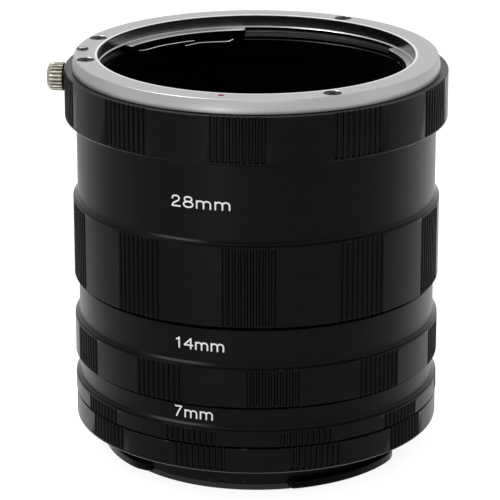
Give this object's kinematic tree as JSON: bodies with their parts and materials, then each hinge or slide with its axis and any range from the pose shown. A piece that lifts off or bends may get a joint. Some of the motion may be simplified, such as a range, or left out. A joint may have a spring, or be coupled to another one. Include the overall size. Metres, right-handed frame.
{
  "type": "macro extension tube",
  "caption": "Macro extension tube set with a knurled camera ring, three screwed black tubes and a bright lens bayonet with a sprung lock pin and side release knob.",
  "frame": {"origin": "under the middle of the set's bounding box, at the foot of the camera-side bayonet collar on which it stands; the optical axis stands 1.575 mm from it towards +X, because the release knob reaches out on the -X side only", "axes": "+Z along the optical axis towards the lens; -Y towards the viewer of the picture; the release knob is on the -X side"},
  "size_m": [0.0684, 0.0654, 0.0703],
  "materials": {
    "black_anodised": "satin black anodised aluminium",
    "satin_chrome": "satin chrome plated, turned face",
    "black_oxide_steel": "black oxide steel",
    "spring_steel": "bright spring steel",
    "nickel": "nickel plated brass"
  },
  "bodies": {
    "camera_ring": {"camera_ring": "black_anodised"},
    "tube_7mm": {"tube_7mm": "black_anodised"},
    "tube_14mm": {"tube_14mm": "black_anodised"},
    "tube_28mm": {"tube_28mm": "black_anodised"},
    "lens_ring": {"lens_ring_housing": "black_anodised", "bayonet_plate": "satin_chrome", "plate_screw_1": "black_oxide_steel", "plate_screw_2": "black_oxide_steel", "plate_screw_3": "black_oxide_steel", "plate_screw_4": "black_oxide_steel", "bayonet_spring_1": "spring_steel", "bayonet_spring_2": "spring_steel", "bayonet_spring_3": "spring_steel", "lock_spring": "spring_steel"},
    "lens_lock": {"lock_pin": "nickel", "release_knob": "nickel"}
  },
  "joints": [
    {"name": "tube_7mm_thread", "type": "hinge", "parent": "camera_ring", "child": "tube_7mm", "pos_m": [0.00158, 0, 0.01038], "axis": [0, 0, 1], "range_deg": [0, 1150]},
    {"name": "tube_14mm_thread", "type": "hinge", "parent": "tube_7mm", "child": "tube_14mm", "pos_m": [0.00158, 0, 0.01738], "axis": [0, 0, 1], "range_deg": [0, 1150]},
    {"name": "tube_28mm_thread", "type": "hinge", "parent": "tube_14mm", "child": "tube_28mm", "pos_m": [0.00158, 0, 0.03138], "axis": [0, 0, 1], "range_deg": [0, 1150]},
    {"name": "lens_ring_thread", "type": "hinge", "parent": "tube_28mm", "child": "lens_ring", "pos_m": [0.00158, 0, 0.05938], "axis": [0, 0, 1], "range_deg": [0, 1150]},
    {"name": "lock_pin_slide", "type": "slide", "parent": "lens_ring", "child": "lens_lock", "axis": [0, 0, -1], "range_m": [0, 0.001], "stiffness_N_per_m": 800, "springref_m": -0.001, "deforming": ["lock_spring"]}
  ]
}
